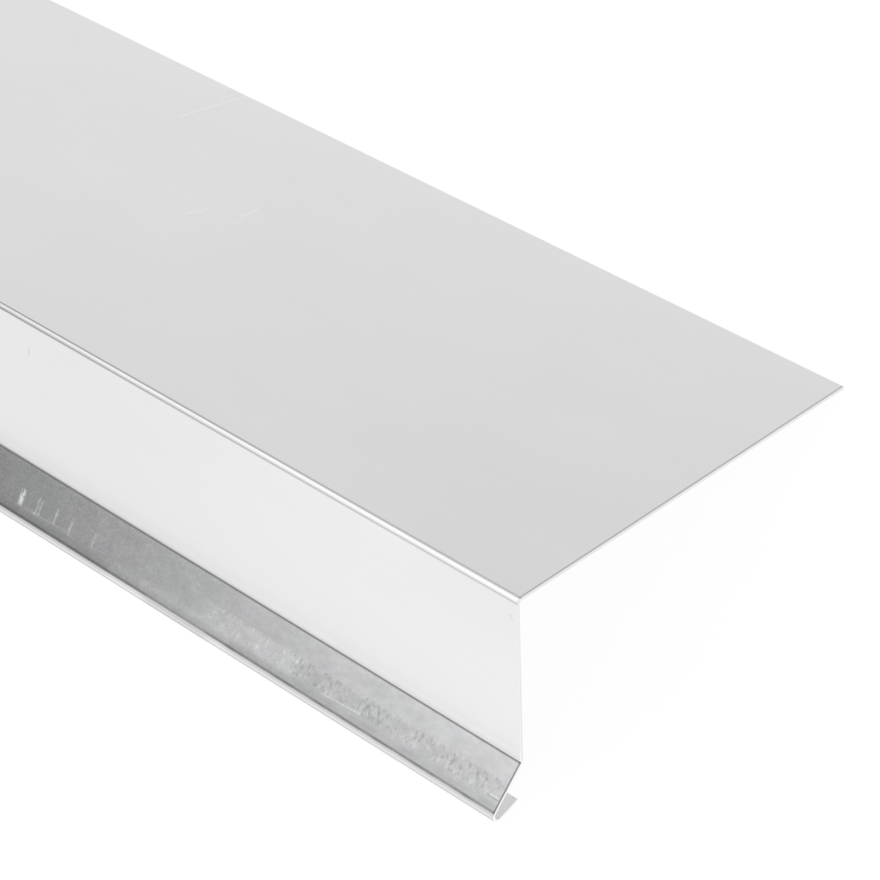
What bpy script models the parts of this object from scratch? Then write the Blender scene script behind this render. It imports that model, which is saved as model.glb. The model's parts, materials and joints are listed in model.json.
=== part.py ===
"""Wall coping: one length of aluminium sheet, folded three times.

A wide flange lies on top of the wall and a face hangs down in front of it. At the face's foot the
sheet kicks outwards, and then folds back under itself into an open return: the drip edge, which
stiffens the foot and throws the water clear of the wall.

The section is drawn as the line through the middle of the sheet, flat by flat and bend by bend,
then extruded along the length and given the sheet's thickness. The finished coping lies as it
would on a level floor, on its rear edge and its drip edge, with its weather side up.

Metres, +Z up. The length runs along X, the face looks towards -Y, and the origin is on the floor
under the middle of the coping.
"""
import math

import bmesh
import bpy
from mathutils import Matrix, Vector

# Driving dimensions, in metres
LENGTH = 1.0
SHEET_THICKNESS = 0.001
FLANGE_WIDTH = 0.155     # from the rear edge to the outside of the face
FACE_HEIGHT = 0.0643     # from the outside of the flange to the corner where the kick starts
KICK_LENGTH = 0.0178     # from that corner to the start of the drip bend
RETURN_LENGTH = 0.0084   # from the end of the drip bend to the return's tip

# Inside radius of each bend, in metres
TOP_BEND_RADIUS = 0.0006
KICK_BEND_RADIUS = 0.0016
DRIP_BEND_RADIUS = 0.0018

# How far each bend turns the sheet, in degrees
TOP_BEND_ANGLE = 90.0
KICK_BEND_ANGLE = 43.8
DRIP_BEND_ANGLE = 152.9

# Widest turn that one facet of a bend takes, and the turn above which an edge stays sharp
FACET_ANGLE = 10.0
SHARP_ANGLE = 40.0

# Mill-finish aluminium
ALUMINIUM_COLOUR = (0.80, 0.81, 0.82, 1.0)
ALUMINIUM_ROUGHNESS = 0.38

TOWARDS_LEFT = 1
TOWARDS_RIGHT = -1


class MiddleLine:
    """The middle of the sheet as (y, z) points, laid down by walking along the section."""

    def __init__(self, start, heading):
        self.points = [Vector(start)]
        self.heading = heading

    def flat(self, length):
        """Goes straight on."""
        direction = Vector((math.cos(self.heading), math.sin(self.heading)))
        self.points.append(self.points[-1] + length * direction)

    def bend(self, inside_radius, angle, side):
        """Turns to one side on an arc of the bend's middle radius."""
        turn = side * math.radians(angle)
        to_centre = side * Vector((-math.sin(self.heading), math.cos(self.heading)))
        spoke = -(inside_radius + SHEET_THICKNESS / 2) * to_centre
        centre = self.points[-1] - spoke
        facets = math.ceil(angle / FACET_ANGLE)
        for facet in range(1, facets + 1):
            self.points.append(centre + Matrix.Rotation(turn * facet / facets, 2) @ spoke)
        self.heading += turn


def setback(radius, angle):
    """Distance from a bend's tangent line to the sharp corner that its flats would make."""
    return radius * math.tan(math.radians(angle) / 2)


def coping_section():
    """Walks from the rear edge over the flange, down the face and round the drip edge.

    The sizes are measured on the weather side: outside the top bend and inside the kick bend.
    """
    top_setback = setback(TOP_BEND_RADIUS + SHEET_THICKNESS, TOP_BEND_ANGLE)
    kick_setback = setback(KICK_BEND_RADIUS, KICK_BEND_ANGLE)
    line = MiddleLine(start=(FLANGE_WIDTH, -SHEET_THICKNESS / 2), heading=math.pi)
    line.flat(FLANGE_WIDTH - top_setback)
    line.bend(TOP_BEND_RADIUS, TOP_BEND_ANGLE, TOWARDS_LEFT)
    line.flat(FACE_HEIGHT - top_setback - kick_setback)
    line.bend(KICK_BEND_RADIUS, KICK_BEND_ANGLE, TOWARDS_RIGHT)
    line.flat(KICK_LENGTH - kick_setback)
    line.bend(DRIP_BEND_RADIUS, DRIP_BEND_ANGLE, TOWARDS_LEFT)
    line.flat(RETURN_LENGTH)
    return line.points


def extruded_surface(name, section):
    """Draws the section at one end of the coping and extrudes it to the other as a surface."""
    surface = bmesh.new()
    corners = [surface.verts.new((-LENGTH / 2, point.x, point.y)) for point in section]
    edges = [surface.edges.new(pair) for pair in zip(corners, corners[1:])]
    extruded = bmesh.ops.extrude_edge_only(surface, edges=edges)["geom"]
    far_end = [item for item in extruded if isinstance(item, bmesh.types.BMVert)]
    bmesh.ops.translate(surface, verts=far_end, vec=(LENGTH, 0, 0))
    mesh = bpy.data.meshes.new(name)
    surface.to_mesh(mesh)
    surface.free()
    return bpy.data.objects.new(name, mesh)


def thicken(sheet):
    """Gives the surface the sheet's thickness and keeps the solid as the object's own mesh."""
    solidify = sheet.modifiers.new("sheet_thickness", "SOLIDIFY")
    solidify.thickness = SHEET_THICKNESS
    solidify.offset = 0.0
    solidify.use_even_offset = True
    surface = sheet.data
    graph = bpy.context.evaluated_depsgraph_get()
    sheet.data = bpy.data.meshes.new_from_object(sheet.evaluated_get(graph))
    sheet.data.name = sheet.name
    sheet.modifiers.remove(solidify)
    bpy.data.meshes.remove(surface)
    sheet.data.shade_smooth()
    sheet.data.set_sharp_from_angle(angle=math.radians(SHARP_ANGLE))


def resting_tilt(sheet):
    """Slope of the lowest line that the section can rest on, through the rear edge's lower corner."""
    rear = Vector((FLANGE_WIDTH, -SHEET_THICKNESS))
    slopes = []
    for vertex in sheet.data.vertices:
        if vertex.co.y < FLANGE_WIDTH / 2:
            slopes.append(math.atan2(rear.y - vertex.co.z, rear.x - vertex.co.y))
    return max(slopes)


def lay_down(sheet):
    """Turns the sheet onto its rear edge and drip edge, with the middle of its base at the origin."""
    turn = Matrix.Rotation(-resting_tilt(sheet), 3, "X")
    turned = [turn @ vertex.co for vertex in sheet.data.vertices]
    front = min(point.y for point in turned)
    rear = max(point.y for point in turned)
    bottom = min(point.z for point in turned)
    sheet.rotation_euler = turn.to_euler()
    sheet.location = (0.0, -(front + rear) / 2, -bottom)


def mill_aluminium():
    """Bare rolled aluminium: bright, slightly dull."""
    material = bpy.data.materials.new("mill_aluminium")
    material.use_nodes = True
    shader = material.node_tree.nodes["Principled BSDF"]
    shader.inputs["Base Color"].default_value = ALUMINIUM_COLOUR
    shader.inputs["Metallic"].default_value = 1.0
    shader.inputs["Roughness"].default_value = ALUMINIUM_ROUGHNESS
    material.diffuse_color = ALUMINIUM_COLOUR
    return material


def main():
    for item in list(bpy.data.objects):
        bpy.data.objects.remove(item)
    coping = bpy.data.collections.new("wall_coping")
    bpy.context.scene.collection.children.link(coping)
    sheet = extruded_surface("coping_sheet", coping_section())
    coping.objects.link(sheet)
    thicken(sheet)
    lay_down(sheet)
    sheet.data.materials.append(mill_aluminium())


main()
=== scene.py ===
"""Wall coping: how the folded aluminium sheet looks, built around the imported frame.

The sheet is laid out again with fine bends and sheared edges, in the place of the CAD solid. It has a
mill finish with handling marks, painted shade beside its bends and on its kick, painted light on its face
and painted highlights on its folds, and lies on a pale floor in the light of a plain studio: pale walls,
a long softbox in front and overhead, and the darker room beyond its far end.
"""
import json
import math
from collections import namedtuple

import bpy
from mathutils import Matrix, Vector


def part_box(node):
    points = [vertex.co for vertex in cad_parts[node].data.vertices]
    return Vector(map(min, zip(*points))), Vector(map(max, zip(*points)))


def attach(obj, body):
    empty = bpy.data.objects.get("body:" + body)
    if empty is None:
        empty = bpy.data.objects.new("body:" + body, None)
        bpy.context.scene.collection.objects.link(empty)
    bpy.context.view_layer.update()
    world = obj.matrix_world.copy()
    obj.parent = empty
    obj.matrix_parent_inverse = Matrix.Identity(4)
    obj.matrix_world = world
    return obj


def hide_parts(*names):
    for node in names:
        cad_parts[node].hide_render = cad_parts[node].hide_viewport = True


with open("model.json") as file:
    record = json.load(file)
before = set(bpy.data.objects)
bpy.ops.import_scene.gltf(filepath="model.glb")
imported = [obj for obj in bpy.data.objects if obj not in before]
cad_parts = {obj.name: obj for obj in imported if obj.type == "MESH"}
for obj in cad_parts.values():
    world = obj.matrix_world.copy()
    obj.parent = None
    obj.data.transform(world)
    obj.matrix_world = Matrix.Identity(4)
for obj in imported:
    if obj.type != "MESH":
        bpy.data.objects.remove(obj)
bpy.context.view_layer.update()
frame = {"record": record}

NODE = "coping_sheet"

# The sheet's driving dimensions, as in the part's source, in metres
LENGTH = 1.0
SHEET_THICKNESS = 0.001
FLANGE_WIDTH = 0.155
FACE_HEIGHT = 0.0643
KICK_LENGTH = 0.0178
RETURN_LENGTH = 0.0084
TOP_BEND_RADIUS = 0.0006
KICK_BEND_RADIUS = 0.0016
DRIP_BEND_RADIUS = 0.0018
TOP_BEND_ANGLE = 90.0
KICK_BEND_ANGLE = 43.8
DRIP_BEND_ANGLE = 152.9
TOWARDS_LEFT = 1
TOWARDS_RIGHT = -1

# How finely the sheet is laid out
FACET_ANGLE = 3.0
FLAT_STEP = 0.006
SUPPORT = 0.0002
SAME_PLACE = 1e-7
LENGTH_STEP = 0.0125
SHARP_ANGLE = 35.0

# The sheared ends: how far the weather side rolls over, along the sheet and into its thickness
END_ROLL_LENGTH = 0.0004
END_ROLL_DEPTH = 0.00022
SLIT_ROLL = 0.00008
BURR_ROLL = 0.00003
RIM_STEP = 0.00005
ROLL_STEPS = 6

# The developed map shows the weather side from 0 on, and the inner side and the cut faces so much before it
HIDDEN_SHIFT = 1.0

# Camera, in the frame of the part
CAMERA_PLACE = (1.09153, -0.29263, 0.92472)
CAMERA_VIEW = (-0.58761, 0.25197, -0.76891)
CAMERA_UP = (-0.38763, 0.74648, 0.54085)
CAMERA_LENS = 144.21
SENSOR_WIDTH = 36.0

# Mill finish: colour of the metal, roughness of its flats, its kick and its tight folds, and what rub
# marks add to it
ALUMINIUM_COLOUR = (0.835, 0.835, 0.835, 1.0)
FLAT_ROUGHNESS = 0.21
KICK_ROUGHNESS = 0.26
FOLD_ROUGHNESS = 0.34
RUB_ROUGHNESS = 0.06

# How much brighter the painted highlight makes the tight folds, the kick's faint tints, and the relief of
# the rolling lines
FOLD_HIGHLIGHT = 1.17
COOL_TINT = (0.985, 1.0, 1.005, 1.0)
WARM_TINT = (1.0, 0.993, 1.015, 1.0)
NO_TINT = (1.0, 1.0, 1.0, 1.0)
BUMP_STRENGTH = 0.25
BUMP_DISTANCE = 0.00001

# Painted shade: the kick is darker than the rest, for the darker surroundings that it mirrors, most of all
# around one place along the length, where its mottle is stronger too
KICK_DEEPEST_SHADE = 0.44
KICK_LIGHTEST_SHADE = 0.69
KICK_SHADE_PLACE = 0.05
KICK_SHADE_BEGIN = 0.15
KICK_SHADE_END = 0.425
MOTTLE_IN_SHADE = 0.09
MOTTLE_OUT_OF_SHADE = 0.010

# What a value is turned into: low up to begin, high from end on, and smooth between them
Ease = namedtuple("Ease", "begin end low high")

# Painted light: the face gets lighter along its length, with painted shade at its top corner at the near end
FACE_PAINTED_LIGHT = Ease(begin=0.28, end=0.56, low=-0.014, high=0.058)
CORNER_ALONG = Ease(begin=0.44, end=0.50, low=0.0, high=1.0)
CORNER_ACROSS = Ease(begin=0.190, end=0.156, low=0.0, high=1.0)
CORNER_PAINTED_SHADE = 0.034

# Lines of painted shade beside the bends, for the darker surroundings that the bent metal mirrors there,
# at the near end and at the far end: how far each lies behind its bend's mark, how far it reaches to both
# sides and how much it darkens. The curve deepens it late on the way.
ShadeLineEnd = namedtuple("ShadeLineEnd", "shift reach depth")
ShadeLine = namedtuple("ShadeLine", "near far curve")
ABOVE_TOP = ShadeLine(
    near=ShadeLineEnd(shift=-0.00006, reach=0.00058, depth=0.38),
    far=ShadeLineEnd(shift=0.00052, reach=0.00043, depth=0.65),
    curve=0.0,
)
BELOW_TOP = ShadeLine(
    near=ShadeLineEnd(shift=-0.00007, reach=0.00048, depth=0.37),
    far=ShadeLineEnd(shift=-0.00007, reach=0.00070, depth=0.47),
    curve=0.30,
)
KICK_CORNER = ShadeLine(
    near=ShadeLineEnd(shift=0.0, reach=0.00095, depth=0.62),
    far=ShadeLineEnd(shift=-0.0005, reach=0.00115, depth=0.78),
    curve=0.0,
)
DRIP_START = ShadeLine(
    near=ShadeLineEnd(shift=0.00012, reach=0.00085, depth=0.52),
    far=ShadeLineEnd(shift=-0.00028, reach=0.00085, depth=0.42),
    curve=0.0,
)
DRIP_TURN = ShadeLine(
    near=ShadeLineEnd(shift=0.0021, reach=0.0006, depth=0.30),
    far=ShadeLineEnd(shift=0.0021, reach=0.0006, depth=0.42),
    curve=0.0,
)
SHADE_LINES_NEAR = 0.5
SHADE_LINES_FAR = 0.2

# Painted shade at the foot of the kick and painted light at the foot of the face, in soft bands that end at
# a bend: their full width, their soft sides and how much they darken, below zero for the painted light
SoftBand = namedtuple("SoftBand", "width soft depth")
KICK_FOOT_SHADE = SoftBand(width=0.0007, soft=0.0030, depth=0.15)
FACE_FOOT_LIGHT = SoftBand(width=0.0012, soft=0.0035, depth=-0.10)

# Painted shade in rims along the sheared ends, and a painted highlight along the rear edge: where they lie
# from it, their reach to both sides and how much they darken, below zero for the highlight
Rim = namedtuple("Rim", "place reach depth")
FLANGE_RIM_SHADE = Rim(place=0.00052, reach=0.00056, depth=0.34)
KICK_RIM_SHADE = Rim(place=0.00038, reach=0.00036, depth=0.58)
REAR_EDGE_HIGHLIGHT = Rim(place=0.0001, reach=0.0007, depth=-0.06)

# The cut faces at the two ends are bright, those of the flange and the face less so
CUT_FACE = Ease(begin=0.00003, end=0.00001, low=0.0, high=1.0)
CUT_DEPTH = -0.2
WIDE_CUT_DEPTH = 0.16

# How softly the looks of a flat give way to those of a bend. Those of the kick start before their bend's
# end and those of the drip fold after its begin, and the drip fold has this share of the top fold's painted
# highlight and rougher finish.
FLAT_SOFT = 0.0003
KICK_SOFT = 0.0004
KICK_EARLY = 0.0008
DRIP_LATE = 0.0006
DRIP_SHARE = 0.5

# Noises over the developed sheet, in cells a metre along it and across it
Noise = namedtuple("Noise", "along across detail roughness seed")
KICK_CLOUDS = Noise(along=110.0, across=170.0, detail=4.0, roughness=0.65, seed=0.0)
KICK_PATCHES = Noise(along=330.0, across=420.0, detail=2.0, roughness=0.6, seed=5.3)
KICK_MOTTLE = Noise(along=900.0, across=1250.0, detail=1.0, roughness=0.5, seed=2.4)
RUB_SHAPES = Noise(along=760.0, across=400.0, detail=3.0, roughness=0.6, seed=3.1)
RUB_GROUPS = Noise(along=200.0, across=260.0, detail=1.0, roughness=0.5, seed=1.7)
STROKE_WANDER = Noise(along=500.0, across=500.0, detail=2.0, roughness=0.5, seed=0.0)
FLECKS = Noise(along=900.0, across=600.0, detail=1.0, roughness=0.5, seed=0.0)
ROLLING_LINES = Noise(along=30.0, across=1800.0, detail=2.0, roughness=0.6, seed=0.0)
SHEET_CLOUDS = Noise(along=9.0, across=22.0, detail=2.0, roughness=0.55, seed=0.0)
TINT_CLOUDS = Noise(along=38.0, across=60.0, detail=1.0, roughness=0.5, seed=0.0)

# What the noises are turned into
CLOUD_SHADE = Ease(begin=0.3, end=0.7, low=0.945, high=1.055)
PATCH_SHADE = Ease(begin=0.3, end=0.7, low=0.965, high=1.035)
MOTTLE = Ease(begin=0.3, end=0.7, low=-1.0, high=1.0)
SHADE_LINE_PATCHES = Ease(begin=0.35, end=0.65, low=0.75, high=1.20)
LINE_SHADE = Ease(begin=0.2, end=0.8, low=0.988, high=1.012)
SHEET_SHADE = Ease(begin=0.25, end=0.75, low=0.99, high=1.01)
TINT_SHARE = Ease(begin=0.35, end=0.65, low=0.0, high=1.0)
STROKE_BREAKS = Ease(begin=0.27, end=0.50, low=0.0, high=1.0)
MARK_BREAKS = Ease(begin=0.27, end=0.50, low=0.5, high=1.1)
RUB_CLUSTERS = Ease(begin=0.34, end=0.54, low=0.0, high=1.0)
RUB_RAISED = Ease(begin=0.50, end=0.64, low=0.0, high=1.0)
RUB_SUNKEN = Ease(begin=0.50, end=0.36, low=0.0, high=1.0)

# Light strokes across the kick, by their place along the length, and the part of the kick that they
# cross. They lean and sway, and their ends are ragged.
CrossStroke = namedtuple("CrossStroke", "along width gain")
CROSS_STROKES = (
    CrossStroke(along=0.2645, width=0.0019, gain=1.10),
    CrossStroke(along=0.2729, width=0.0009, gain=0.45),
    CrossStroke(along=0.2745, width=0.0009, gain=0.40),
    CrossStroke(along=0.2827, width=0.0010, gain=0.50),
    CrossStroke(along=0.2907, width=0.0010, gain=0.48),
    CrossStroke(along=0.3031, width=0.0009, gain=0.38),
    CrossStroke(along=-0.1620, width=0.0012, gain=0.55),
    CrossStroke(along=-0.1540, width=0.0009, gain=0.38),
)
STROKE_UPPER = 0.2272
STROKE_LOWER = 0.2321
STROKE_SOFT = 0.0007
STROKE_LEAN = 0.17
STROKE_SWAY = 0.0014
STROKE_MEAN_SWAY = 0.0007
STROKE_RAGGED = 0.004

# Fine marks, in metres along the length and over the developed sheet from its rear edge. The core is the
# share of the width with the full gain.
Mark = namedtuple("Mark", "start end width gain")
MARKS = (
    Mark(start=(0.2640, 0.2325), end=(0.2895, 0.2320), width=0.0006, gain=0.16),
    Mark(start=(0.2642, 0.2288), end=(0.2649, 0.2316), width=0.0012, gain=0.32),
    Mark(start=(0.4193, 0.2326), end=(0.4369, 0.2319), width=0.0004, gain=0.24),
    Mark(start=(0.4958, 0.2315), end=(0.4992, 0.2314), width=0.0005, gain=0.20),
    Mark(start=(0.4950, 0.2322), end=(0.4992, 0.2321), width=0.0005, gain=-0.22),
    Mark(start=(0.2042, 0.0268), end=(0.2108, 0.0029), width=0.0006, gain=0.07),
    Mark(start=(0.2578, 0.0723), end=(0.2609, 0.0650), width=0.0009, gain=0.045),
    Mark(start=(0.2737, 0.0608), end=(0.2745, 0.0528), width=0.0008, gain=0.05),
    Mark(start=(0.2748, 0.0652), end=(0.2765, 0.0619), width=0.0008, gain=0.035),
    Mark(start=(0.2676, 0.1660), end=(0.2672, 0.1687), width=0.0008, gain=-0.12),
    Mark(start=(0.4968, 0.1607), end=(0.4976, 0.1618), width=0.0010, gain=-0.09),
    Mark(start=(-0.2110, 0.0420), end=(-0.1900, 0.0480), width=0.0005, gain=0.07),
)
MARK_CORE = 0.1

# Bands of rub marks along the kick, the part of the kick that they and their haze cover, and their gains
Band = namedtuple("Band", "begin end")
LIGHT_RUBS = (Band(begin=0.364, end=0.403), Band(begin=0.02, end=0.09), Band(begin=-0.33, end=-0.27))
DARK_RUBS = (Band(begin=0.406, end=0.496), Band(begin=-0.20, end=-0.06), Band(begin=-0.49, end=-0.41))
RUB_UPPER = 0.2265
RUB_LOWER = 0.2318
RUB_SOFT = 0.0009
RUB_BAND_SOFT = 0.006
HAZE_LATE = 0.001
LIGHT_HAZE_LOWER = 0.0005
DARK_HAZE_LOWER = 0.002
HAZE_SOFT = 0.002
LIGHT_RUB_GAIN = 0.21
LIGHT_HAZE_GAIN = 0.10
DARK_FLECK_GAIN = 0.13
DARK_RUB_DEPTH = 0.21
DARK_HAZE_DEPTH = 0.09

# Along this part of the length the drip bend's painted shade line is fainter, and its strip is painted
# darker
DRIP_STRETCH = Band(begin=0.338, end=0.362)
DRIP_STRETCH_FAINTER = 0.45
DRIP_STRETCH_SHADE = 0.14

# The kick's foot is paler along this part of its length, more and more from the upper line to the lower
PALE_FOOT = Band(begin=0.318, end=0.372)
PALE_UPPER = 0.2298
PALE_LOWER = 0.2338
PALE_FLAT = 0.002
PALE_GAIN = 0.125
STRETCH_SOFT = 0.008

# Brightness of the studio by its angle about the length, in degrees from straight up towards the rear:
# beyond the far end, towards it, in the open, and all round from there to the near end
Stop = namedtuple("Stop", "angle level")
STUDIO_FAR = (
    Stop(angle=-180, level=0.8),
    Stop(angle=-92, level=0.78),
    Stop(angle=-84, level=0.85),
    Stop(angle=-72, level=0.58),
    Stop(angle=-62, level=0.60),
    Stop(angle=-50, level=0.75),
    Stop(angle=-38, level=0.50),
    Stop(angle=-28, level=0.10),
    Stop(angle=-18, level=0.78),
    Stop(angle=-5, level=1.15),
    Stop(angle=15, level=0.85),
    Stop(angle=35, level=0.77),
    Stop(angle=60, level=0.78),
    Stop(angle=68, level=0.83),
    Stop(angle=77, level=0.93),
    Stop(angle=180, level=0.93),
)
STUDIO_NEAR = (
    Stop(angle=-180, level=0.9),
    Stop(angle=-92, level=0.95),
    Stop(angle=-84, level=0.90),
    Stop(angle=-72, level=0.75),
    Stop(angle=-62, level=0.95),
    Stop(angle=-50, level=1.12),
    Stop(angle=-38, level=1.08),
    Stop(angle=-28, level=1.18),
    Stop(angle=-18, level=1.42),
    Stop(angle=-5, level=1.28),
    Stop(angle=15, level=0.88),
    Stop(angle=35, level=0.82),
    Stop(angle=60, level=0.76),
    Stop(angle=68, level=0.76),
    Stop(angle=77, level=0.89),
    Stop(angle=180, level=0.92),
)
STUDIO_OPEN = (
    Stop(angle=-180, level=0.95),
    Stop(angle=-92, level=0.95),
    Stop(angle=-80, level=0.90),
    Stop(angle=-62, level=1.08),
    Stop(angle=-50, level=1.22),
    Stop(angle=-28, level=1.28),
    Stop(angle=-18, level=1.38),
    Stop(angle=-5, level=1.20),
    Stop(angle=15, level=0.92),
    Stop(angle=35, level=0.85),
    Stop(angle=60, level=0.73),
    Stop(angle=68, level=0.71),
    Stop(angle=77, level=0.86),
    Stop(angle=90, level=0.90),
    Stop(angle=180, level=0.93),
)
STUDIO_ROUND = (
    Stop(angle=-180, level=0.90),
    Stop(angle=-92, level=0.90),
    Stop(angle=-80, level=0.72),
    Stop(angle=-62, level=0.80),
    Stop(angle=-48, level=0.84),
    Stop(angle=-30, level=0.66),
    Stop(angle=-18, level=0.64),
    Stop(angle=-4, level=0.72),
    Stop(angle=20, level=0.84),
    Stop(angle=50, level=0.72),
    Stop(angle=75, level=0.84),
    Stop(angle=90, level=0.90),
    Stop(angle=180, level=0.90),
)

# Where one of them gives way to the next, by the direction's share of X
FAR_DIRECTION = -0.68
NEAR_DIRECTION = -0.57
OPEN_DIRECTION = -0.40
OPEN_END = -0.32
ROUND_DIRECTION = -0.14

# Floor: its size, its colour where it lights the metal, and how much of its look is shaded by the coping
# and how much glows, seen directly and mirrored in the metal
FLOOR_REACH = 30.0
FLOOR_COLOUR = 0.8
SEEN_SHADE = 0.10
SEEN_GLOW = 0.93
MIRRORED_SHADE = 0.22
MIRRORED_GLOW = 0.825


class SheetLine:
    """The middle of the sheet in section: points, headings and developed length from the rear edge."""

    def __init__(self, start, heading):
        self.points = [Vector(start)]
        self.headings = [heading]
        self.developed = [0.0]

    def add(self, point, heading, travel):
        self.points.append(point)
        self.headings.append(heading)
        self.developed.append(self.developed[-1] + travel)

    def flat(self, length, begin_fine=False, end_fine=False):
        """Goes straight on, with close stations beside a bend or an edge."""
        start = self.points[-1]
        heading = self.headings[-1]
        direction = Vector((math.cos(heading), math.sin(heading)))
        count = max(1, round(length / FLAT_STEP))
        marks = {length * step / count for step in range(1, count + 1)}
        marks.update((SUPPORT, length - SUPPORT))
        if begin_fine:
            marks.update(roll_stations())
        if end_fine:
            marks.update(length - mark for mark in roll_stations())
        reached = 0.0
        for mark in sorted(marks):
            if mark - reached < SAME_PLACE:
                continue
            self.add(start + mark * direction, heading, mark - reached)
            reached = mark

    def bend(self, inside_radius, angle, side):
        """Turns to one side on an arc of the bend's middle radius, and returns its developed span."""
        begin = self.developed[-1]
        turn = side * math.radians(angle)
        heading = self.headings[-1]
        radius = inside_radius + SHEET_THICKNESS / 2
        spoke = -radius * side * Vector((-math.sin(heading), math.cos(heading)))
        centre = self.points[-1] - spoke
        facets = math.ceil(angle / FACET_ANGLE)
        for step in range(1, facets + 1):
            part = turn * step / facets
            place = centre + Matrix.Rotation(part, 2) @ spoke
            self.add(place, heading + part, radius * abs(turn) / facets)
        return begin, self.developed[-1]


def setback(radius, angle):
    """Distance from a bend's tangent line to the sharp corner that its flats would make."""
    return radius * math.tan(math.radians(angle) / 2)


def roll_stations():
    """Distances from an edge at which its roll-over has stations."""
    turns = [math.pi / 2 * step / ROLL_STEPS for step in range(1, ROLL_STEPS + 1)]
    return [END_ROLL_LENGTH * (1 - math.cos(turn)) for turn in turns]


def roll_depth(distance, reach, depth):
    """How far a rolled edge lies below the surface, at a distance from the edge."""
    if distance >= reach:
        return 0.0
    return depth * (1 - math.sqrt(max(0.0, 1 - (1 - distance / reach) ** 2)))


def coping_line():
    """Walks over the flange, down the face and round the drip edge, as the part's source does."""
    top = setback(TOP_BEND_RADIUS + SHEET_THICKNESS, TOP_BEND_ANGLE)
    kick = setback(KICK_BEND_RADIUS, KICK_BEND_ANGLE)
    line = SheetLine(start=(FLANGE_WIDTH, -SHEET_THICKNESS / 2), heading=math.pi)
    line.flat(FLANGE_WIDTH - top, begin_fine=True)
    bends = {"top": line.bend(TOP_BEND_RADIUS, TOP_BEND_ANGLE, TOWARDS_LEFT)}
    line.flat(FACE_HEIGHT - top - kick)
    bends["kick"] = line.bend(KICK_BEND_RADIUS, KICK_BEND_ANGLE, TOWARDS_RIGHT)
    line.flat(KICK_LENGTH - kick)
    bends["drip"] = line.bend(DRIP_BEND_RADIUS, DRIP_BEND_ANGLE, TOWARDS_LEFT)
    line.flat(RETURN_LENGTH, end_fine=True)
    return line, bends


def length_stations():
    """Places along the length, close together at the two sheared ends."""
    half = LENGTH / 2
    count = round(LENGTH / LENGTH_STEP)
    places = {-half + LENGTH * step / count for step in range(count + 1)}
    for reach in (*roll_stations(), END_ROLL_LENGTH + SUPPORT):
        places.update((reach - half, half - reach))
    return sorted(places)


def resting_turn():
    """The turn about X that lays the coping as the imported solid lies, from the record's flange mount."""
    mounts = {mount["name"]: mount for mount in frame["record"]["mounts"]}
    axis = mounts["flange_top"]["axis"]
    return Matrix.Rotation(-math.atan2(axis[1], axis[2]), 3, "X")


def side_offset(side, from_end, from_slit):
    """How far a side of the sheet lies from its middle, with its roll-over at the ends and slit edges."""
    if side == "inner":
        depth = max(roll_depth(from_end, BURR_ROLL, BURR_ROLL), roll_depth(from_slit, BURR_ROLL, BURR_ROLL))
        return depth - SHEET_THICKNESS / 2
    end_depth = roll_depth(from_end, END_ROLL_LENGTH, END_ROLL_DEPTH)
    depth = max(end_depth, roll_depth(from_slit, SLIT_ROLL, SLIT_ROLL))
    return SHEET_THICKNESS / 2 - depth - (RIM_STEP if side == "rim" else 0.0)


def sheet_points(line, stations):
    """The points of the weather side, the cut rim and the inner side, turned as the coping rests.

    Returns them with their places on the developed map, and their numbers by side, station and point.
    """
    last_i = len(stations) - 1
    last_j = len(line.points) - 1
    turn = resting_turn()
    verts = []
    uvs = []
    rows = {}
    for side in ("outer", "rim", "inner"):
        shift = 0.0 if side == "outer" else HIDDEN_SHIFT
        for i, x in enumerate(stations):
            for j, point in enumerate(line.points):
                if side == "rim" and i not in (0, last_i) and j not in (0, last_j):
                    continue
                from_slit = min(line.developed[j], line.developed[-1] - line.developed[j])
                offset = side_offset(side, LENGTH / 2 - abs(x), from_slit)
                heading = line.headings[j]
                place = point + offset * Vector((math.sin(heading), -math.cos(heading)))
                rows[side, i, j] = len(verts)
                verts.append(turn @ Vector((x, place.x, place.y)))
                uvs.append((x, line.developed[j] - shift))
    return verts, uvs, rows


def sheet_faces(rows, last_i, last_j):
    """Quads over the two sides, and round the cut rim between them."""
    faces = []
    for i in range(last_i):
        for j in range(last_j):
            faces.append([rows["outer", a, b] for a, b in ((i, j), (i + 1, j), (i + 1, j + 1), (i, j + 1))])
            faces.append([rows["inner", a, b] for a, b in ((i, j), (i, j + 1), (i + 1, j + 1), (i + 1, j))])
    loop = [(i, 0) for i in range(last_i)]
    loop += [(last_i, j) for j in range(last_j)]
    loop += [(i, last_j) for i in range(last_i, 0, -1)]
    loop += [(0, j) for j in range(last_j, 0, -1)]
    for here, there in zip(loop, loop[1:] + loop[:1]):
        for upper, lower in (("outer", "rim"), ("rim", "inner")):
            faces.append([rows[upper, *there], rows[upper, *here], rows[lower, *here], rows[lower, *there]])
    return faces


def onto_solid(verts):
    """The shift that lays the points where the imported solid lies, level with its rear edge and its top."""
    low = Vector([min(v[k] for v in verts) for k in range(3)])
    high = Vector([max(v[k] for v in verts) for k in range(3)])
    cad_low, cad_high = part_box(NODE)
    return Vector(((cad_low.x + cad_high.x - low.x - high.x) / 2, cad_high.y - high.y, cad_high.z - high.z))


def build_sheet(line):
    """The whole sheet as one closed mesh, with its developed map for the finish."""
    stations = length_stations()
    verts, uvs, rows = sheet_points(line, stations)
    faces = sheet_faces(rows, len(stations) - 1, len(line.points) - 1)
    shift = onto_solid(verts)
    mesh = bpy.data.meshes.new("folded_sheet")
    mesh.from_pydata([v + shift for v in verts], [], faces)
    layer = mesh.uv_layers.new(name="developed")
    for corner in mesh.loops:
        layer.data[corner.index].uv = uvs[corner.vertex_index]
    mesh.shade_smooth()
    mesh.set_sharp_from_angle(angle=math.radians(SHARP_ANGLE))
    sheet = bpy.data.objects.new("folded_sheet", mesh)
    bpy.context.scene.collection.objects.link(sheet)
    return sheet


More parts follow.
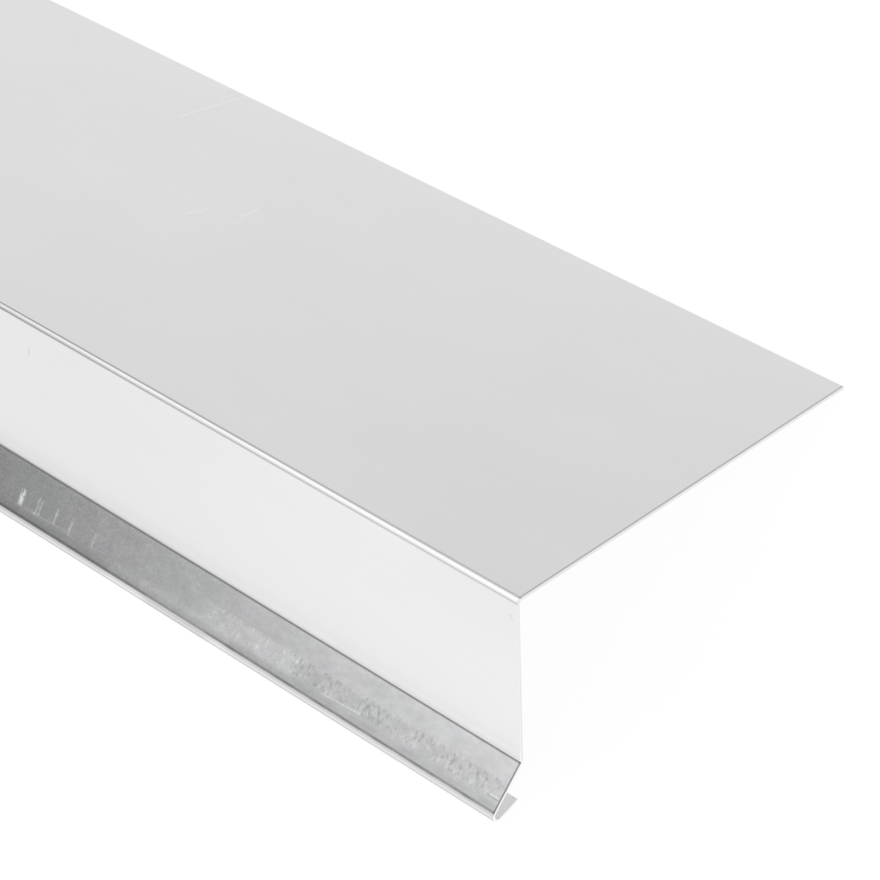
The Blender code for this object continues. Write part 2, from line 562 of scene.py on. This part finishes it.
class Nodes:
    """Short calls that add nodes to one node tree and link them. A socket or a number goes in anywhere."""

    def __init__(self, tree):
        self.tree = tree

    def add(self, kind, **settings):
        node = self.tree.nodes.new("ShaderNode" + kind)
        for name, value in settings.items():
            setattr(node, name, value)
        return node

    def feed(self, socket, value):
        if isinstance(value, bpy.types.NodeSocket):
            self.tree.links.new(value, socket)
        else:
            socket.default_value = value

    def math(self, operation, a, b=0.0):
        node = self.add("Math", operation=operation)
        self.feed(node.inputs[0], a)
        self.feed(node.inputs[1], b)
        return node.outputs[0]

    def ease(self, value, begin, end, low=0.0, high=1.0, interpolation="SMOOTHSTEP"):
        """Goes smoothly from low to high as value goes from begin to end."""
        node = self.add("MapRange", interpolation_type=interpolation)
        names = ("Value", "From Min", "From Max", "To Min", "To Max")
        for name, item in zip(names, (value, begin, end, low, high)):
            self.feed(node.inputs[name], item)
        return node.outputs["Result"]

    def split(self, vector):
        node = self.add("SeparateXYZ")
        self.feed(node.inputs[0], vector)
        return node.outputs

    def join(self, x, y, z):
        node = self.add("CombineXYZ")
        for socket, value in zip(node.inputs, (x, y, z)):
            self.feed(socket, value)
        return node.outputs[0]

    def slope(self, value, begin, end):
        """Goes evenly from 0 to 1 as value goes from begin to end."""
        return self.ease(value, begin, end, interpolation="LINEAR")

    def vector(self, operation, a, b=(0.0, 0.0, 0.0), scale=1.0):
        """A vector operation. Length and dot product come out as a value."""
        node = self.add("VectorMath", operation=operation)
        self.feed(node.inputs[0], a)
        if operation == "SCALE":
            self.feed(node.inputs["Scale"], scale)
        elif operation != "LENGTH":
            self.feed(node.inputs[1], b)
        return node.outputs["Value" if operation in ("LENGTH", "DOT_PRODUCT") else "Vector"]

    def noise(self, place, noise):
        """One of the noises over the developed sheet."""
        moved = self.vector("ADD", place, (noise.seed, noise.seed, 0.0))
        node = self.add("TexNoise")
        self.feed(node.inputs["Vector"], self.vector("MULTIPLY", moved, (noise.along, noise.across, 1.0)))
        node.inputs["Scale"].default_value = 1.0
        node.inputs["Detail"].default_value = noise.detail
        node.inputs["Roughness"].default_value = noise.roughness
        return node.outputs["Fac"]

    def line(self, value, centre, reach):
        """1 on a line at centre, falling smoothly to 0 at reach on both sides."""
        away = self.math("ABSOLUTE", self.math("SUBTRACT", value, centre))
        return self.ease(away, reach, 0.0)

    def mark(self, place, mark):
        """1 in the middle of a short straight mark, falling smoothly to 0 at its sides and ends."""
        start = Vector((*mark.start, 0.0))
        span = Vector((*mark.end, 0.0)) - start
        away = self.vector("SUBTRACT", place, tuple(start))
        part = self.vector("DOT_PRODUCT", away, tuple(span / span.length_squared))
        part = self.math("MINIMUM", self.math("MAXIMUM", part, 0.0), 1.0)
        along_it = self.vector("SCALE", tuple(span), scale=part)
        distance = self.vector("LENGTH", self.vector("SUBTRACT", away, along_it))
        return self.ease(distance, mark.width, mark.width * MARK_CORE)

    def total(self, values):
        result = values[0]
        for value in values[1:]:
            result = self.math("ADD", result, value)
        return result

    def product(self, values):
        result = values[0]
        for value in values[1:]:
            result = self.math("MULTIPLY", result, value)
        return result

    def keep(self, mask, depth):
        """1 outside the mask and 1 - depth inside it."""
        return self.math("SUBTRACT", 1.0, self.math("MULTIPLY", mask, depth))

    def gain(self, mask, gain):
        """1 outside the mask and 1 + gain inside it."""
        return self.math("ADD", 1.0, self.math("MULTIPLY", mask, gain))

    def blend(self, part, a, b):
        """Goes evenly from a to b as part goes from 0 to 1."""
        return self.math("ADD", a, self.math("MULTIPLY", part, b - a))

    def window(self, value, begin, end, soft):
        """1 between begin and end, falling smoothly to 0 over soft outside them."""
        rising = self.ease(value, begin - soft, begin)
        return self.math("MULTIPLY", rising, self.ease(value, end + soft, end))

    def mix(self, factor, a, b, blend="MIX"):
        node = self.add("Mix", data_type="RGBA", blend_type=blend)
        self.feed(node.inputs["Factor"], factor)
        self.feed(node.inputs["A"], a)
        self.feed(node.inputs["B"], b)
        return node.outputs["Result"]


def painted_shade_line(n, across, to_far, mark, shade_line, share=1.0):
    """The painted shade of one line beside its bend's mark, as it changes towards the far end."""
    shift, reach, depth = [n.blend(to_far, near, far) for near, far in zip(shade_line.near, shade_line.far)]
    depth = n.math("ADD", depth, n.product([to_far, to_far, shade_line.curve]))
    line = n.line(across, n.math("ADD", mark, shift), reach)
    return n.keep(line, n.math("MULTIPLY", depth, share))


def painted_fold_shading(n, along, across, bends, patches):
    """Painted shade lines beside the bends, painted shade at the kick's foot and painted light at the face's
    foot.
    """
    top_begin, top_end = bends["top"]
    kick_begin, kick_end = bends["kick"]
    drip_begin, drip_end = bends["drip"]
    to_far = n.slope(along, SHADE_LINES_NEAR, SHADE_LINES_FAR)
    stretch = n.window(along, DRIP_STRETCH.begin, DRIP_STRETCH.end, STRETCH_SOFT)
    stretch_strip = n.math("MULTIPLY", stretch, n.window(across, drip_begin + DRIP_LATE, drip_end, FLAT_SOFT))
    patchy = n.math("MULTIPLY", n.ease(patches, *SHADE_LINE_PATCHES), n.keep(stretch, DRIP_STRETCH_FAINTER))
    shades = [
        painted_shade_line(n, across, to_far, top_begin, ABOVE_TOP),
        painted_shade_line(n, across, to_far, top_end, BELOW_TOP),
        painted_shade_line(n, across, to_far, (kick_begin + kick_end) / 2, KICK_CORNER),
        painted_shade_line(n, across, to_far, drip_begin, DRIP_START, patchy),
        painted_shade_line(n, across, to_far, drip_begin, DRIP_TURN),
        n.keep(stretch_strip, DRIP_STRETCH_SHADE),
    ]
    for foot, end in ((KICK_FOOT_SHADE, drip_begin), (FACE_FOOT_LIGHT, kick_begin)):
        shades.append(n.keep(n.window(across, end - foot.width, end, foot.soft), foot.depth))
    return n.product(shades)


def sheared_edges(n, along, across, bends, kick):
    """Painted shade along the rolled rim on the weather side of the two ends, bright cut faces, and a
    painted highlight along the rear edge.
    """
    from_end = n.math("SUBTRACT", LENGTH / 2, n.math("ABSOLUTE", along))
    flange = n.window(across, 0.0, bends["top"][0], FLAT_SOFT)
    flange_shade_rim = n.math("MULTIPLY", n.line(from_end, FLANGE_RIM_SHADE.place, FLANGE_RIM_SHADE.reach), flange)
    kick_shade_rim = n.math("MULTIPLY", n.line(from_end, KICK_RIM_SHADE.place, KICK_RIM_SHADE.reach), kick)
    cut_face = n.ease(from_end, *CUT_FACE)
    wide_flats = n.window(across, -HIDDEN_SHIFT, bends["kick"][0] - HIDDEN_SHIFT, FLAT_SOFT)
    return n.product([
        n.keep(flange_shade_rim, FLANGE_RIM_SHADE.depth),
        n.keep(kick_shade_rim, KICK_RIM_SHADE.depth),
        n.keep(cut_face, CUT_DEPTH),
        n.keep(n.math("MULTIPLY", cut_face, wide_flats), WIDE_CUT_DEPTH),
        n.keep(n.line(across, REAR_EDGE_HIGHLIGHT.place, REAR_EDGE_HIGHLIGHT.reach), REAR_EDGE_HIGHLIGHT.depth),
    ])


def cross_strokes(n, place, along, across, flecks):
    """The row of short, broken light strokes across the kick."""
    wander = n.noise(place, STROKE_WANDER)
    lean = n.math("MULTIPLY", n.math("SUBTRACT", across, (STROKE_UPPER + STROKE_LOWER) / 2), STROKE_LEAN)
    moved = n.math("SUBTRACT", along, n.math("ADD", lean, n.math("MULTIPLY", wander, STROKE_SWAY)))
    strokes = []
    for stroke in CROSS_STROKES:
        line = n.line(moved, stroke.along - STROKE_MEAN_SWAY, stroke.width)
        strokes.append(n.math("MULTIPLY", line, stroke.gain))
    ragged = n.math("MULTIPLY", n.math("SUBTRACT", wander, 0.5), STROKE_RAGGED)
    return n.product([
        n.total(strokes),
        n.window(n.math("ADD", across, ragged), STROKE_UPPER, STROKE_LOWER, STROKE_SOFT),
        n.ease(flecks, *STROKE_BREAKS),
    ])


def rubs(n, place, along, across):
    """Scattered short rub marks across the kick in its lower half: some bands light, others dark.

    Returns their shade, and where they are.
    """
    shapes = n.noise(place, RUB_SHAPES)
    clusters = n.ease(n.noise(place, RUB_GROUPS), *RUB_CLUSTERS)
    part = n.math("MULTIPLY", clusters, n.window(across, RUB_UPPER, RUB_LOWER, RUB_SOFT))
    raised = n.math("MULTIPLY", n.ease(shapes, *RUB_RAISED), part)
    sunken = n.math("MULTIPLY", n.ease(shapes, *RUB_SUNKEN), part)
    light_reach, dark_reach = [
        n.total([n.window(along, band.begin, band.end, RUB_BAND_SOFT) for band in bands])
        for bands in (LIGHT_RUBS, DARK_RUBS)
    ]
    light_haze, dark_haze = [
        n.window(across, RUB_UPPER + HAZE_LATE, RUB_LOWER + lower, HAZE_SOFT)
        for lower in (LIGHT_HAZE_LOWER, DARK_HAZE_LOWER)
    ]
    light_rubs = n.math("MULTIPLY", light_reach, raised)
    dark_rubs = n.math("MULTIPLY", dark_reach, sunken)
    shade = n.product([
        n.gain(light_rubs, LIGHT_RUB_GAIN),
        n.gain(n.math("MULTIPLY", dark_reach, raised), DARK_FLECK_GAIN),
        n.gain(n.math("MULTIPLY", light_reach, light_haze), LIGHT_HAZE_GAIN),
        n.keep(dark_rubs, DARK_RUB_DEPTH),
        n.keep(n.math("MULTIPLY", dark_reach, dark_haze), DARK_HAZE_DEPTH),
    ])
    return shade, n.math("ADD", light_rubs, dark_rubs)


def kick_shade_and_mottle(n, place, along):
    """The kick's painted shade along the length, and its clouds, patches and mottle. The clouds come out
    too.
    """
    from_shade_place = n.math("ABSOLUTE", n.math("SUBTRACT", along, KICK_SHADE_PLACE))
    clouds = n.noise(place, KICK_CLOUDS)
    mottle = n.ease(n.noise(place, KICK_MOTTLE), *MOTTLE)
    shade = n.product([
        n.ease(from_shade_place, KICK_SHADE_BEGIN, KICK_SHADE_END, KICK_DEEPEST_SHADE, KICK_LIGHTEST_SHADE),
        n.ease(clouds, *CLOUD_SHADE),
        n.ease(n.noise(place, KICK_PATCHES), *PATCH_SHADE),
        n.gain(mottle, n.ease(from_shade_place, KICK_SHADE_BEGIN, KICK_SHADE_END, MOTTLE_IN_SHADE, MOTTLE_OUT_OF_SHADE)),
    ])
    return shade, clouds


def pale_foot(n, along, across):
    """One stretch of the kick's foot is paler than the rest."""
    reach = n.window(along, PALE_FOOT.begin, PALE_FOOT.end, STRETCH_SOFT)
    foot = n.window(across, PALE_LOWER, PALE_LOWER + PALE_FLAT, PALE_LOWER - PALE_UPPER)
    return n.gain(n.math("MULTIPLY", reach, foot), PALE_GAIN)


def face_painted_light(n, along, across, bends):
    """Painted light: the face gets slightly lighter towards the near end, with painted shade at its top
    corner there.
    """
    face = n.window(across, bends["top"][1] + FLAT_SOFT, bends["kick"][0], FLAT_SOFT)
    corner = n.product([face, n.ease(along, *CORNER_ALONG), n.ease(across, *CORNER_ACROSS)])
    return n.math("MULTIPLY", n.gain(face, n.ease(along, *FACE_PAINTED_LIGHT)), n.keep(corner, CORNER_PAINTED_SHADE))


def sheet_grain(n, place):
    """Faint rolling lines along the length and faint clouds, all over the sheet. The lines come out too."""
    lines = n.noise(place, ROLLING_LINES)
    clouds = n.noise(place, SHEET_CLOUDS)
    return n.math("MULTIPLY", n.ease(lines, *LINE_SHADE), n.ease(clouds, *SHEET_SHADE)), lines


def kick_tint(n, place, kick):
    """The kick's faint cool and warm patches."""
    share = n.ease(n.noise(place, TINT_CLOUDS), *TINT_SHARE)
    return n.mix(kick, NO_TINT, n.mix(share, COOL_TINT, WARM_TINT))


def tight_folds(n, across, bends):
    """1 on the top fold, and less on the drip fold: where the painted highlight and the rougher finish go.
    """
    top_fold = n.window(across, bends["top"][0], bends["top"][1], FLAT_SOFT)
    drip_fold = n.window(across, bends["drip"][0] + DRIP_LATE, bends["drip"][1], FLAT_SOFT)
    return n.math("ADD", top_fold, n.math("MULTIPLY", drip_fold, DRIP_SHARE))


def fine_marks(n, place, flecks):
    """The scratches and small marks at their places, broken up by the flecks."""
    marks = n.total([n.math("MULTIPLY", n.mark(place, mark), mark.gain) for mark in MARKS])
    return n.gain(marks, n.ease(flecks, *MARK_BREAKS))


def rolling_relief(n, lines):
    """The faint relief of the rolling lines."""
    bump = n.add("Bump")
    bump.inputs["Strength"].default_value = BUMP_STRENGTH
    bump.inputs["Distance"].default_value = BUMP_DISTANCE
    n.feed(bump.inputs["Height"], lines)
    return bump.outputs["Normal"]


def mill_aluminium(bends):
    """Bare rolled aluminium with painted shade beside the bends and on the rubbed kick, and painted
    highlights on the folds.
    """
    material = bpy.data.materials.new("mill_aluminium_sheet")
    material.use_nodes = True
    shader = material.node_tree.nodes["Principled BSDF"]
    n = Nodes(material.node_tree)
    place = n.add("UVMap", uv_map="developed").outputs["UV"]
    along, across, _ = n.split(place)
    kick = n.window(across, bends["kick"][1] - KICK_EARLY, bends["drip"][0], KICK_SOFT)
    fold = tight_folds(n, across, bends)
    rub_shade, rubbed = rubs(n, place, along, across)
    grain, lines = sheet_grain(n, place)
    kick_painted_shade_and_mottle, clouds = kick_shade_and_mottle(n, place, along)
    flecks = n.noise(place, FLECKS)
    shade = n.product([
        # painted shade on the kick, with its real clouds, patches and mottle
        n.gain(kick, n.math("SUBTRACT", kick_painted_shade_and_mottle, 1.0)),
        # painted highlight on the tight folds
        n.gain(fold, FOLD_HIGHLIGHT - 1),
        fine_marks(n, place, flecks),
        n.math("ADD", 1.0, cross_strokes(n, place, along, across, flecks)),
        rub_shade,
        # painted shade beside the bends and at the kick's foot, painted light at the face's foot
        painted_fold_shading(n, along, across, bends, clouds),
        # painted shade on the end rims, painted highlight on the rear edge, and the bright cut faces
        sheared_edges(n, along, across, bends, kick),
        pale_foot(n, along, across),
        # painted light over the face, painted shade at its top corner
        face_painted_light(n, along, across, bends),
        grain,
    ])
    colour = n.mix(1.0, ALUMINIUM_COLOUR, n.join(shade, shade, shade), "MULTIPLY")
    n.feed(shader.inputs["Base Color"], n.mix(1.0, colour, kick_tint(n, place, kick), "MULTIPLY"))
    shader.inputs["Metallic"].default_value = 1.0
    roughness = n.total([
        FLAT_ROUGHNESS,
        n.math("MULTIPLY", kick, KICK_ROUGHNESS - FLAT_ROUGHNESS),
        n.math("MULTIPLY", fold, FOLD_ROUGHNESS - FLAT_ROUGHNESS),
        n.math("MULTIPLY", rubbed, RUB_ROUGHNESS),
    ])
    n.feed(shader.inputs["Roughness"], roughness)
    n.feed(shader.inputs["Normal"], rolling_relief(n, lines))
    return material


def studio_ramp(n, factor, stops):
    """A brightness ramp over the whole turn about the length."""
    node = n.add("ValToRGB")
    ramp = node.color_ramp
    ramp.interpolation = "LINEAR"
    ramp.elements.remove(ramp.elements[-1])
    for index, stop in enumerate(stops):
        place = (stop.angle + 180) / 360
        element = ramp.elements[0] if index == 0 else ramp.elements.new(place)
        element.position = place
        element.color = (stop.level, stop.level, stop.level, 1)
    n.feed(node.inputs["Fac"], factor)
    return node.outputs["Color"]


def studio_world():
    """The studio as brightness by direction, and the only light."""
    world = bpy.data.worlds.new("studio")
    bpy.context.scene.world = world
    world.use_nodes = True
    n = Nodes(world.node_tree)
    x, y, z = n.split(n.add("TexCoord").outputs["Generated"])
    turn = n.math("ARCTAN2", y, z)
    factor = n.math("ADD", n.math("DIVIDE", turn, 2 * math.pi), 0.5)
    mixed = n.mix(
        n.slope(x, FAR_DIRECTION, NEAR_DIRECTION),
        studio_ramp(n, factor, STUDIO_FAR),
        studio_ramp(n, factor, STUDIO_NEAR),
    )
    mixed = n.mix(n.slope(x, NEAR_DIRECTION, OPEN_DIRECTION), mixed, studio_ramp(n, factor, STUDIO_OPEN))
    mixed = n.mix(n.slope(x, OPEN_END, ROUND_DIRECTION), mixed, studio_ramp(n, factor, STUDIO_ROUND))
    n.feed(world.node_tree.nodes["Background"].inputs["Color"], mixed)


def floor_finish():
    """White, with a faint shadow where it is seen directly and a deeper one where the metal mirrors it."""
    material = bpy.data.materials.new("pale_floor")
    material.use_nodes = True
    tree = material.node_tree
    tree.nodes.clear()
    n = Nodes(tree)
    rays = n.add("LightPath").outputs
    seen = n.math("MAXIMUM", rays["Is Camera Ray"], rays["Is Glossy Ray"])
    seen = n.math("MAXIMUM", seen, rays["Is Transmission Ray"])
    plain = n.add("BsdfDiffuse")
    plain.inputs["Color"].default_value = (FLOOR_COLOUR, FLOOR_COLOUR, FLOOR_COLOUR, 1)
    direct = rays["Is Camera Ray"]
    shade = n.add("BsdfDiffuse")
    n.feed(shade.inputs["Color"], n.ease(direct, 0.0, 1.0, MIRRORED_SHADE, SEEN_SHADE, "LINEAR"))
    glow = n.add("Emission")
    n.feed(glow.inputs["Strength"], n.ease(direct, 0.0, 1.0, MIRRORED_GLOW, SEEN_GLOW, "LINEAR"))
    both = n.add("AddShader")
    n.feed(both.inputs[0], shade.outputs[0])
    n.feed(both.inputs[1], glow.outputs[0])
    mix = n.add("MixShader")
    n.feed(mix.inputs["Fac"], seen)
    n.feed(mix.inputs[1], plain.outputs[0])
    n.feed(mix.inputs[2], both.outputs[0])
    n.feed(n.add("OutputMaterial").inputs["Surface"], mix.outputs[0])
    return material


def pale_floor():
    """A wide level floor under the coping."""
    mesh = bpy.data.meshes.new("floor")
    corners = [(-FLOOR_REACH, -FLOOR_REACH, 0), (FLOOR_REACH, -FLOOR_REACH, 0)]
    corners += [(FLOOR_REACH, FLOOR_REACH, 0), (-FLOOR_REACH, FLOOR_REACH, 0)]
    mesh.from_pydata(corners, [], [(0, 1, 2, 3)])
    floor = bpy.data.objects.new("floor", mesh)
    bpy.context.scene.collection.objects.link(floor)
    mesh.materials.append(floor_finish())


def camera():
    """Stands at the photograph's viewpoint, turned upright as the photograph is."""
    data = bpy.data.cameras.new("camera")
    data.lens = CAMERA_LENS
    data.sensor_width = SENSOR_WIDTH
    item = bpy.data.objects.new("camera", data)
    bpy.context.scene.collection.objects.link(item)
    view = Vector(CAMERA_VIEW).normalized()
    right = view.cross(Vector(CAMERA_UP)).normalized()
    up = right.cross(view)
    turn = Matrix((right, up, -view)).transposed()
    item.matrix_world = Matrix.Translation(CAMERA_PLACE) @ turn.to_4x4()
    bpy.context.scene.camera = item


def main():
    camera()
    studio_world()
    pale_floor()
    line, bends = coping_line()
    sheet = build_sheet(line)
    sheet.data.materials.append(mill_aluminium(bends))
    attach(sheet, "root")
    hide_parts(NODE)
    bpy.context.scene.view_settings.view_transform = "Standard"


main()
